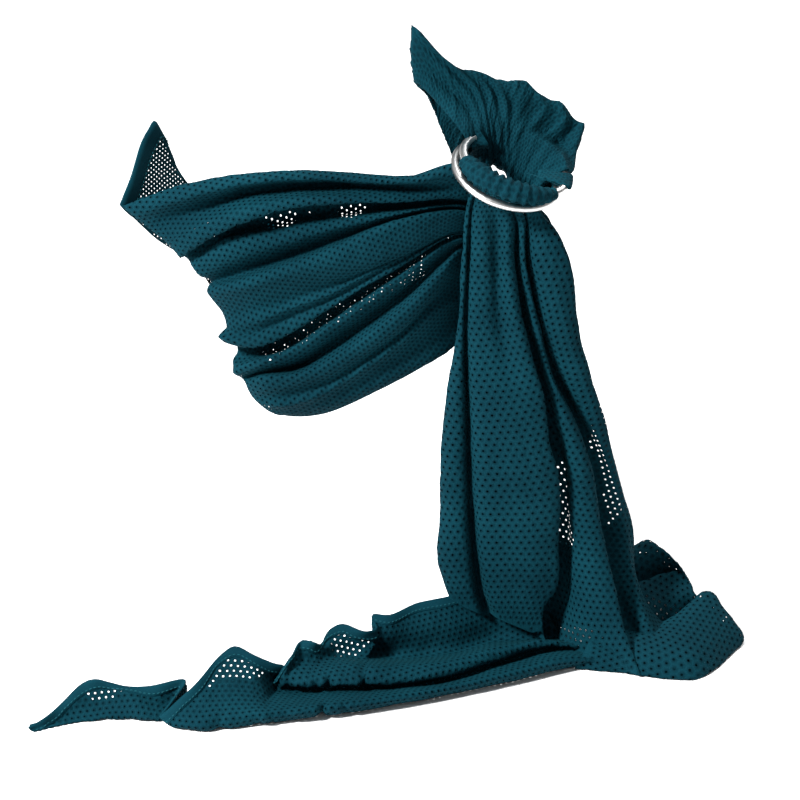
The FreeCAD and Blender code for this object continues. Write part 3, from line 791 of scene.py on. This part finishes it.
# The tail along the floor, from right to left: how tall the hidden layer behind the rail stands, as a
# share of the rail's height, and a section from the front edge up to the rail.
FLOOR_SECTIONS = [
    # under the hanging tail
    (1, [(172, -80, 1), (162, -84, 9), (150, -60, 5), (146, -64, 9), (140, -62, 11),
      (136, -40, 4), (126, -36, 14), (116, -12, 30)]),
    (1, [(149, -76, 1), (140, -89, 13), (122, -58, 5), (120, -70, 14), (117, -69, 18),
      (114, -40, 5), (102, -42, 22), (92, -20, 38)]),
    (1, [(88, -104, 1), (83, -115, 13), (80, -78, 4), (78, -92, 15), (76, -87, 20),
      (78, -40, 4), (76, -34, 22), (72, -14, 38)]),
    (1, [(39, -124, 1), (38, -134, 13), (42, -102, 4), (40, -116, 15), (40, -106, 21),
      (42, -59, 4), (41, -50, 22), (39, -31, 38)]),
    (1, [(12, -134, 1), (12, -144, 13), (14, -111, 4), (13, -125, 15), (13, -113, 21),
      (15, -65, 4), (14, -58, 22), (13, -39, 36)]),
    # the last lobe's hemmed end
    (1, [(-12, -142, 1), (-12, -152, 13), (-8, -115, 4), (-9, -129, 15), (-9, -116, 21),
      (-7, -69, 5), (-9, -70, 24), (-9, -58, 36)]),
    (1, [(-31, -148, 1), (-31, -158, 13), (-24, -116, 4), (-24, -129, 15), (-24, -118, 22),
      (-19, -73, 8), (-23, -77, 26), (-22, -57, 36)]),
    # turned back behind it
    (1, [(-39, -150, 1), (-39, -160, 13), (-32, -116, 4), (-32, -131, 15), (-35, -115, 22),
      (-28, -89, 14), (-19, -78, 22), (-19, -72, 32)]),
    (0.5, [(-47, -153, 1), (-47, -162, 13), (-42, -116, 4), (-41, -131, 15), (-43, -113, 21),
      (-40, -88, 16), (-35, -82, 24), (-28, -81, 34)]),
    # the third arch
    (0.2, [(-57, -155, 1), (-56, -164, 13), (-51, -117, 4), (-51, -132, 15), (-52, -117, 21),
      (-48, -90, 18), (-45, -84, 30), (-46, -76, 38)]),
    (0.8, [(-66, -157, 1), (-66, -167, 13), (-61, -118, 4), (-61, -132, 15), (-63, -119, 20),
      (-62, -101, 20), (-59, -94, 28), (-57, -83, 36)]),
    (1, [(-74, -159, 1), (-73, -168, 13), (-69, -119, 4), (-69, -133, 15), (-71, -122, 20),
      (-69, -107, 22), (-65, -99, 28), (-63, -95, 30)]),
    (1, [(-80, -160, 1), (-80, -170, 13), (-77, -119, 4), (-76, -133, 15), (-79, -124, 20),
      (-78, -111, 23), (-73, -104, 30), (-67, -102, 36)]),
    # the third peak, and its hem coming down to the front
    (1, [(-85, -162, 1), (-87, -169, 12), (-84, -118, 4), (-83, -132, 14), (-86, -125, 19),
      (-85, -115, 22), (-82, -108, 28), (-78, -99, 36)]),
    (1, [(-91, -163, 1), (-93, -171, 12), (-91, -119, 5), (-91, -128, 12), (-92, -129, 16),
      (-91, -126, 20), (-88, -122, 26), (-85, -114, 32)]),
    (1, [(-97, -165, 1), (-98, -172, 12), (-98, -118, 5), (-99, -123, 9), (-99, -124, 11),
      (-99, -125, 13), (-98, -125, 15), (-96, -124, 18)]),
    # turned back behind that hem
    (1, [(-101, -165, 1), (-102, -174, 12), (-100, -128, 7), (-99, -125, 8), (-98, -119, 9),
      (-96, -115, 12), (-94, -118, 18), (-91, -119, 24)]),
    (0.9, [(-105, -167, 1), (-106, -175, 12), (-105, -146, 12), (-105, -141, 13), (-104, -131, 14),
      (-103, -124, 17), (-102, -123, 22), (-99, -121, 28)]),
    (0.4, [(-114, -169, 1), (-115, -174, 11), (-114, -159, 15), (-114, -152, 17), (-114, -142, 20),
      (-114, -136, 24), (-114, -129, 29), (-114, -122, 36)]),
    # the second peak, and its hem coming down to the floor
    (0.3, [(-124, -172, 1), (-124, -176, 10), (-124, -164, 15), (-124, -156, 18), (-126, -144, 22),
      (-127, -137, 27), (-128, -128, 33), (-130, -118, 42)]),
    (0.4, [(-133, -174, 1), (-134, -178, 9), (-135, -168, 14), (-136, -160, 17), (-139, -149, 21),
      (-140, -140, 25), (-142, -133, 31), (-142, -124, 36)]),
    (0.8, [(-145, -177, 1), (-147, -180, 8), (-150, -174, 12), (-152, -167, 14), (-153, -160, 18),
      (-155, -154, 20), (-156, -151, 24), (-157, -148, 28)]),
    (0.8, [(-160, -177, 1), (-163, -180, 6), (-165, -176, 8), (-167, -172, 10), (-169, -166, 12),
      (-170, -165, 14), (-171, -163, 16), (-172, -160, 18)]),
    (0.8, [(-178, -171, 1), (-180, -172, 3), (-181, -171, 4), (-182, -170, 5), (-183, -170, 6),
      (-184, -170, 7), (-185, -170, 8), (-186, -169, 9)]),
    # turned back behind that one
    (0.8, [(-175, -166, 1), (-176, -163, 2), (-177, -158, 3), (-178, -150, 4), (-178, -144, 6),
      (-176, -141, 10), (-173, -139, 15), (-168, -136, 22)]),
    (0.9, [(-188, -164, 1), (-189, -164, 4), (-190, -160, 6), (-191, -154, 8), (-192, -150, 11),
      (-193, -147, 14), (-194, -145, 17), (-196, -142, 20)]),
    (0.7, [(-198, -163, 1), (-199, -165, 6), (-202, -162, 9), (-204, -158, 12), (-206, -154, 15),
      (-208, -151, 17), (-212, -147, 19), (-217, -142, 20)]),
    # the first arch
    (0.2, [(-218, -162, 1), (-220, -161, 4), (-223, -155, 6), (-225, -151, 9), (-228, -147, 12),
      (-231, -146, 16), (-234, -145, 20), (-237, -145, 28)]),
    (0.5, [(-237, -164, 1), (-239, -161, 2), (-241, -158, 3), (-242, -155, 5), (-244, -152, 8),
      (-246, -150, 12), (-246, -147, 17), (-248, -143, 23)]),
    (0.8, [(-256, -168, 1), (-257, -166, 1.5), (-258, -164, 2), (-259, -163, 3), (-260, -161, 4),
      (-260, -160, 6), (-261, -159, 9), (-262, -153, 13)]),
    (0.8, [(-271, -174, 1), (-272, -173, 1), (-272, -172, 1.5), (-272, -171, 2), (-273, -171, 3),
      (-274, -170, 4), (-274, -171, 6), (-274, -171, 9)]),
    # the tip
    (0.8, [(-282, -179, 1), (-282, -179, 1), (-283, -178, 1), (-284, -178, 1.5), (-285, -178, 2),
      (-286, -177, 2), (-286, -177, 3), (-287, -178, 4)]),
]

# The heap at the tail's right, from the front to the back; each line runs right.
HEAP_FOLDS = [
    # a hidden fold under the right flap
    [(150, -40, 3), (180, -40, 6), (204, -40, 10), (222, -34, 16), (238, -22, 22), (248, -14, 25),
     (254, -10, 22), (254, -5, 6)],
    [(145, -78, 4), (178, -80, 5), (206, -84, 5), (230, -84, 5), (248, -70, 5), (264, -48, 5),
     (275, -34, 4), (266, -26, 3)],
    # front edge
    [(140, -84, 1), (175, -90, 1), (205, -99, 1), (234, -101, 1), (252, -86, 1), (271, -58, 1),
     (281, -38, 2), (272, -30, 2)],
    [(145, -82, 10), (178, -84, 13), (206, -90, 15), (230, -90, 15), (250, -74, 14), (267, -52, 12),
     (280, -36, 8), (272, -26, 3)],
    [(155, -62, 18), (182, -62, 21), (206, -64, 22), (230, -58, 24), (248, -46, 24), (260, -34, 24),
     (271, -27, 18), (266, -18, 4)],
    # the right flap's upper edge
    [(165, -46, 18), (186, -50, 18), (202, -50, 17), (222, -40, 23), (240, -25, 30), (250, -16, 33),
     (259, -14, 30), (258, -8, 6)],
    [(168, -38, 14), (187, -40, 14), (203, -40, 14), (223, -32, 20), (240, -19, 28), (249, -11, 31),
     (256, -9, 28), (256, -4, 6)],
    # the dark hollow behind it
    [(170, -36, 3), (188, -36, 3), (203, -35, 3), (222, -26, 6), (236, -14, 12), (243, -8, 18),
     (247, -6, 20), (250, -1, 5)],
    # middle fold
    [(172, -24, 16), (190, -24, 17), (204, -22, 18), (221, -14, 22), (234, -9, 27), (240, -8, 27),
     (244, -8, 27), (248, -2, 6)],
    [(174, -6, 26), (190, -6, 27), (203, -4, 28), (219, 3, 31), (233, 4, 33), (239, -1, 31),
     (242, -4, 29), (246, 2, 6)],
    [(176, 8, 28), (190, 8, 29), (201, 9, 31), (217, 13, 35), (232, 15, 37), (238, 7, 34), (241, 1, 32),
     (244, 6, 6)],
    # its shade
    [(176, 13, 14), (190, 13, 15), (201, 15, 16), (217, 19, 20), (230, 19, 24), (235, 12, 26),
     (238, 6, 25), (242, 10, 6)],
    # back fold
    [(177, 22, 30), (191, 22, 31), (202, 24, 35), (217, 22, 38), (231, 15, 38), (236, 8, 35),
     (238, 4, 33), (242, 10, 5)],
    [(178, 32, 40), (192, 32, 41), (203, 33, 45), (217, 26, 46), (231, 13, 43), (235, 7, 39),
     (238, 4, 36), (242, 12, 5)],
    [(180, 50, 38), (194, 50, 41), (206, 48, 49), (218, 30, 50), (233, 11, 43), (236, 6, 39),
     (239, 4, 35), (242, 14, 5)],
    [(180, 58, 20), (194, 58, 24), (208, 56, 30), (222, 38, 30), (236, 20, 26), (240, 14, 24),
     (242, 10, 22), (243, 16, 4)],
    [(180, 62, 2), (194, 62, 2), (210, 60, 2), (226, 44, 2), (242, 26, 2), (246, 18, 2), (248, 14, 2),
     (244, 18, 2)],
    # up again behind the back fold
    [(180, 50, 3), (194, 50, 3), (206, 46, 3), (218, 30, 3), (230, 16, 3), (238, 8, 3), (240, 6, 3),
     (238, 12, 3)],
    [(180, 42, 30), (194, 42, 32), (204, 38, 38), (214, 26, 39), (226, 14, 35), (231, 8, 31),
     (234, 6, 28), (236, 12, 5)],
]


# --- the carrying panel's front, and its turned edge -------------------------------------------------

RING_FOOT = (74.0, 12.0)              # where the panel's folds meet behind the column
RING_FOOT_TOP = 372.0
RING_FOOT_BOTTOM = 276.0
TURN_BACK = ((5.0, 13.0), (22.0, 19.0))


def front_lines():
    """The front folds, led on from behind the column and turned back at the left edge."""
    lines = []
    for index, line in enumerate(FRONT_FOLDS):
        share = index / (len(FRONT_FOLDS) - 1)
        foot = (*RING_FOOT, RING_FOOT_TOP + share * (RING_FOOT_BOTTOM - RING_FOOT_TOP))
        x, y, z = line[-1]
        turned = [(x + dx, y + dy, z) for dx, dy in TURN_BACK]
        lines.append([foot] + line + turned)
    return lines


# --- the shoulder gather ------------------------------------------------------------------------------

# The rings' places as the CAD has them. The sewn sleeve goes round both rings' rear arcs, here taken
# as one bar midway between the two.
BACK_RING_CENTRE = np.array([88.385, -3.234, 400.692])
RING_ACROSS = np.array([0.9406, -0.1439, -0.3074])
FRONT_RING_UP = np.array([0.263, -0.267, 0.926])
BACK_RING_UP = np.array([0.2798, -0.1836, 0.9423])
SLEEVE_CENTRE = (RING_CENTRE + BACK_RING_CENTRE) / 2
SLEEVE_UP = (FRONT_RING_UP + BACK_RING_UP) / 2
SLEEVE_FRONT = np.cross(RING_ACROSS, SLEEVE_UP)
FRONT_AND_UP = np.array([0.0, -0.906, 0.423])        # the side on which the gather passes the bars
PLEAT_RIDGE = 1.2                                    # every other pleat stands up and the rest lie low
FOOT_CURVE = 14                                      # how much more the outer pleats' feet come forward
SHOULDER_TOP = 455                                   # the height at which the cloth folds over
STRIP_MIDDLE = 60                                    # where the fan's cloth draws in to behind

# The tab's path round the back ring's bar, as (away from the ring's middle, to the front and up).
TAB_SECTION = ((-22, -9), (-19, -4), (-15, 0), (-10, 3.5), (-5, 5.6), (0, 6.0), (3.5, 4.6), (5.4, 1),
               (5.0, -3), (2, -7))

# The strip behind the shoulder: depth, height, and its left and right edges.
STRIP_PATH = ((66.0, 400.0, 34.0, 92.0), (74.0, 372.0, 42.0, 64.0), (78.0, 330.0, 22.0, 54.0),
              (80.0, 285.0, 21.0, 52.0), (80.0, 240.0, 21.0, 51.0))


def outward_of(degrees, front):
    """The direction from a ring's middle to the place on it at that angle from its front."""
    around = math.radians(degrees)
    return math.sin(around) * RING_ACROSS + math.cos(around) * front


def fan_pleat(degrees, foot, fan, share, ridge):
    """The middle of the bars, and a pleat's way round them and up the fan."""
    outward = outward_of(degrees, SLEEVE_FRONT)
    bar = SLEEVE_CENTRE + RING_RADIUS * outward
    foot = np.array(foot) + FOOT_CURVE * (2 * share - 1) ** 2 * FRONT_AND_UP
    behind = max(0.0, -math.cos(math.radians(degrees)))
    over = bar + (8.5 + 0.5 * ridge + 1.5 * behind) * FRONT_AND_UP
    ahead = np.array(fan[0]) - foot
    ahead = ahead / np.linalg.norm(ahead)
    return bar, [bar + (5 + 8 * behind) * outward + 6 * SLEEVE_UP,
                 bar + (5 + 4 * behind) * outward - 11 * SLEEVE_UP, foot + np.array([0, 7, -5]), foot,
                 over - 6 * ahead, over, over + 9 * ahead] + fan


def tab_pleat(degrees):
    """The middle of the back ring's bar, and a pleat of the tab round it."""
    outward = outward_of(degrees, SLEEVE_FRONT)
    bar = BACK_RING_CENTRE + RING_RADIUS * outward
    return bar, [bar + away * outward + up * FRONT_AND_UP for away, up in TAB_SECTION]


def tucked(degrees, bar, end):
    """From the fan's end down behind it, deeper on the left than on the right, and up again."""
    x, y, z = end
    loose = min(1.0, max(0.0, (degrees - 125) / 40))
    low = (loose * (bar + np.array([0, 4, 13]))
           + (1 - loose) * ((bar + end) / 2 + np.array([0, 10, 0])))
    middle = (low + np.array([x, y + 8, z])) / 2
    return [(x, y + 3, z - 3), middle, low, low + np.array([0, 4, 1]), middle + np.array([0, 4, 0]),
            (x, y + 7, z - 5 - rise_of(end) / 3)]


def rise_of(end):
    """How far a fan's end stands above the shoulder fold."""
    return max(0.0, end[2] - SHOULDER_TOP)


def strip(share, end):
    """From behind the fan's end down to the back panel, at a share of the way across the strip."""
    x, y, z = end
    rise = rise_of(end)
    inward = (0.17 + 0.08 * min(1, 4 * share)) * max(0.3, 1 - rise / 60)
    path = [(x + (STRIP_MIDDLE - x) * inward, y + 17, z - 16 - rise / 2)]
    return path + [(left + share * (right - left), depth, height)
                   for depth, height, left, right in STRIP_PATH]


def shifted(line, dx, dy):
    return [(x + dx, y + dy, z) for x, y, z in line]


def shoulder_lines():
    """Each pleat comes up round the rings' rear arcs, fans out, and folds over the shoulder.

    Under the fold the cloth is tucked down behind the fan and up again, and then hangs as the strip.
    """
    lines = []
    last = len(SHOULDER_PLEATS) + len(TAB_PLEATS) - 1
    for index, (degrees, foot, fan) in enumerate(SHOULDER_PLEATS):
        ridge = PLEAT_RIDGE if index % 2 else -PLEAT_RIDGE
        bar, line = fan_pleat(degrees, foot, fan, index / last, ridge)
        lines.append(line + tucked(degrees, bar, line[-1]) + strip(index / last, line[-1]))
    for index, degrees in enumerate(TAB_PLEATS, len(SHOULDER_PLEATS)):
        bar, line = tab_pleat(degrees)
        lines.append(line + tucked(degrees, bar, line[-1]) + strip(index / last, line[-1]))
    turned = [shifted(lines[0], 14, 8), shifted(lines[0], 7, 6)]
    ends = [shifted(lines[-1], -4, 5), shifted(lines[-1], -10, 8)]
    return turned + lines + ends


# --- the roll over the back ring, and the tail that hangs from it ---------------------------------------

BACK_RING_FRONT = np.cross(RING_ACROSS, BACK_RING_UP)
ROLL_FIRST, ROLL_LAST = -62.0, 58.0          # degrees round the ring from its front
ROLL_ANGLES = (215, 165, 120, 80, 40, 5, -30)       # round the bar
ROLL_THICKNESS = 9.6                         # from the middle of the bar to the middle of the cloth
ROLL_RIDGE = 1.1
ROLL_TAPER = (0.42, 0.55)                    # towards its left and its right end


def roll_points(share, radius):
    """A pleat's path round the back ring's bar, at a share of the way across the roll.

    It leaves between the two bars, and so comes down inside the front ring.
    """
    outward = outward_of(ROLL_FIRST + share * (ROLL_LAST - ROLL_FIRST), BACK_RING_FRONT)
    bar = BACK_RING_CENTRE + RING_RADIUS * outward
    path = []
    for angle in ROLL_ANGLES:
        a = math.radians(angle)
        path.append(bar + radius * (math.cos(a) * outward + math.sin(a) * BACK_RING_UP))
    path.append(bar + 0.5 * outward - 5.8 * BACK_RING_UP)
    path.append(bar - 9.0 * outward - 14.0 * BACK_RING_UP)
    return path


def tail_lines():
    """The roll's pleats, each led on down its fold of the tail."""
    lines = []
    for index, line in enumerate(TAIL_FOLDS):
        share = index / (len(TAIL_FOLDS) - 1)
        left, right = max(0.0, 1 - 2 * share), max(0.0, 3 * share - 2)
        full = 1 - ROLL_TAPER[0] * left ** 4 - ROLL_TAPER[1] * right
        radius = full * (ROLL_THICKNESS + (ROLL_RIDGE if index % 2 else -ROLL_RIDGE))
        lines.append(roll_points(share, radius) + line)
    return lines


# --- the tail on the floor ---------------------------------------------------------------------------

def floor_lines():
    """Each section of the floor tail, led on from two hidden layers: behind the rail and underneath."""
    lines = []
    for backing, points in FLOOR_SECTIONS:
        rail, hollow, front = (np.array(points[k], dtype=float) for k in (7, 5, 0))
        top = np.array([rail[0], rail[1] + 6, max(1.5, rail[2] * backing - 3)])
        foot = np.array([hollow[0], hollow[1] + 6, 1.5])
        lines.append([(rail[0], rail[1] + 10, 1.0), top, foot, (front + foot) / 2] + points)
    return lines


# --- building each cloth piece -----------------------------------------------------------------------

FLOOR_CLEARANCE = 0.6
WEAR = ((0.9, 26.0), (0.35, 9.0))     # the cloth's small bumps: height and size
ACROSS, ALONG, LENGTH = 0, 1, 2       # the kinds of place on a surface, as surface() gives them
RING_END = ((-0.03, 0.055, 0.37), (0.035, 0.055, 0.37))      # planes at the front ring's end; only whether a piece is given them is used


def follow(piece, ring_end):
    """The piece rides on the cloth; one given a ring end instead has its placement baked into its mesh."""
    if ring_end:
        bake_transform(piece)
    else:
        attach(piece, "sling_cloth")


def cloth_piece(name, lines, nodes, along=150, spacing=3.0, seed=0, scale=1.0,
                shut=(), material=MESH_CLOTH, ring_end=None):
    """Makes a sheet through the fold lines, and gives back its grid for the hems."""
    grid, marks = surface(lines, along, spacing)
    grid = crumpled(grid, WEAR, seed)
    grid[..., 2] = np.maximum(grid[..., 2], FLOOR_CLEARANCE)
    cloth = FlatCloth(grid)
    piece = open_mesh(name, cloth, material, scale, marks, shut)
    follow(piece, ring_end)
    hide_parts(*nodes)
    return grid


def trim(piece, node, ring_end=None):
    follow(piece, ring_end)
    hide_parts(node)


front = cloth_piece("front_panel_cloth", front_lines(), ["body_front_panel", "body_gather"],
                    along=130, seed=1, scale=0.76,
                    shut=[(ACROSS, 0, 1.97), (ACROSS, 6.5, 8.5), (ACROSS, 20.5, 22.6), (ACROSS, 32.5, 35),
                          (LENGTH, 0.9, 1)], ring_end=RING_END)
back = cloth_piece("back_panel_cloth", BACK_FOLDS, ["body_side_fold", "body_back_panel"],
                   along=130, seed=2, scale=0.62)
cloth_piece("shoulder_cloth", shoulder_lines(), ["ring_casing", "shoulder_gather", "shoulder_back_strip"],
            along=170, spacing=2.0, seed=3, scale=0.56,
            shut=[(ALONG, 1.5, 17.5)], material=GATHERED_CLOTH)
cloth_piece("hanging_tail_cloth", tail_lines(), ["ring_roll", "tail_column"],
            along=190, seed=4,
            shut=[(ACROSS, 0, 1.97), (ACROSS, 10.5, 12.5), (ACROSS, 16.5, 18.5), (ACROSS, 22.2, 25),
                  (ALONG, 0, 7.5)])
floor_tail = cloth_piece("floor_tail_cloth", floor_lines(), ["tail_floor"], along=110, seed=5,
                         scale=0.9, shut=[(ALONG, 0, 3.9)])
cloth_piece("floor_heap_cloth", HEAP_FOLDS, ["tail_floor_flap"], along=80, seed=6,
            shut=[(ACROSS, 0, 1.97), (ACROSS, 15.2, 18)])

trim(hem_piece("front_rail_band", front, False, start=0.06), "front_rail_hem", RING_END)
trim(hem_piece("back_rail_band", back, False, width=17.0), "back_rail_hem")
across_tail = floor_tail.transpose(1, 0, 2)
trim(hem_piece("tail_rail_band", across_tail, True), "tail_rail_hem")
rows = [hem_stitch_row(across_tail, True, 7.0, side) for side in (1, -1)]
rows += [hem_stitch_row(back, False, 15.0, side) for side in (1, -1)]
trim(stitches_piece("hem_stitches", rows), "casing_stitching")

for ring in ("ring_front", "ring_back"):
    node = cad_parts[ring]
    node.data.materials.clear()
    node.data.materials.append(RING_METAL)


# --- floor, light and camera -------------------------------------------------------------------------

FLOOR_CORNERS = 4.0 * np.array([(-1, -1, 0), (1, -1, 0), (1, 1, 0), (-1, 1, 0)])
mesh_object("floor", FLOOR_CORNERS, [(0, 1, 2, 3)], floor_material(), smooth=False)


def aimed(name, data, place, target):
    """Puts a light or a camera in the scene, looking at the target."""
    obj = bpy.data.objects.new(name, data)
    obj.location = place
    obj.rotation_euler = (target - place).to_track_quat("-Z", "Y").to_euler()
    bpy.context.scene.collection.objects.link(obj)
    return obj


CENTRE = Vector(ORIGIN) + Vector((0, 0, 0.2))
# Each light's place and aim from the centre, its size in metres and its power in watts.
LIGHTS = {
    "key": ((-1.5, -1.1, 1.5), (0, 0, 0), 0.45, 165),
    "top": ((0.2, 0.4, 2.5), (0, 0, 0), 1.4, 52),
    "back": ((1.3, 1.6, 1.6), (0.4, 0.5, -0.2), 1.2, 34),
}
for name, (place, aim, size, power) in LIGHTS.items():
    light = bpy.data.lights.new(name, "AREA")
    light.shape = "DISK"
    light.size = size
    light.energy = power
    aimed(name, light, CENTRE + Vector(place), CENTRE + Vector(aim))

world = bpy.data.worlds.new("soft_studio")
bpy.context.scene.world = world
world.use_nodes = True
background = world.node_tree.nodes["Background"]
background.inputs["Color"].default_value = (1, 1, 1, 1)
background.inputs["Strength"].default_value = 0.26
bpy.context.scene.view_settings.view_transform = "Standard"

CAMERA_DISTANCE = 2.2
CAMERA_ELEVATION = math.radians(25)
CAMERA_LENS = 123.75
camera_data = bpy.data.cameras.new("camera")
camera_data.lens = CAMERA_LENS
camera_data.sensor_width = 36
towards_camera = Vector((0, -math.cos(CAMERA_ELEVATION), math.sin(CAMERA_ELEVATION)))
camera = aimed("camera", camera_data, CENTRE + CAMERA_DISTANCE * towards_camera, CENTRE)
bpy.context.scene.camera = camera
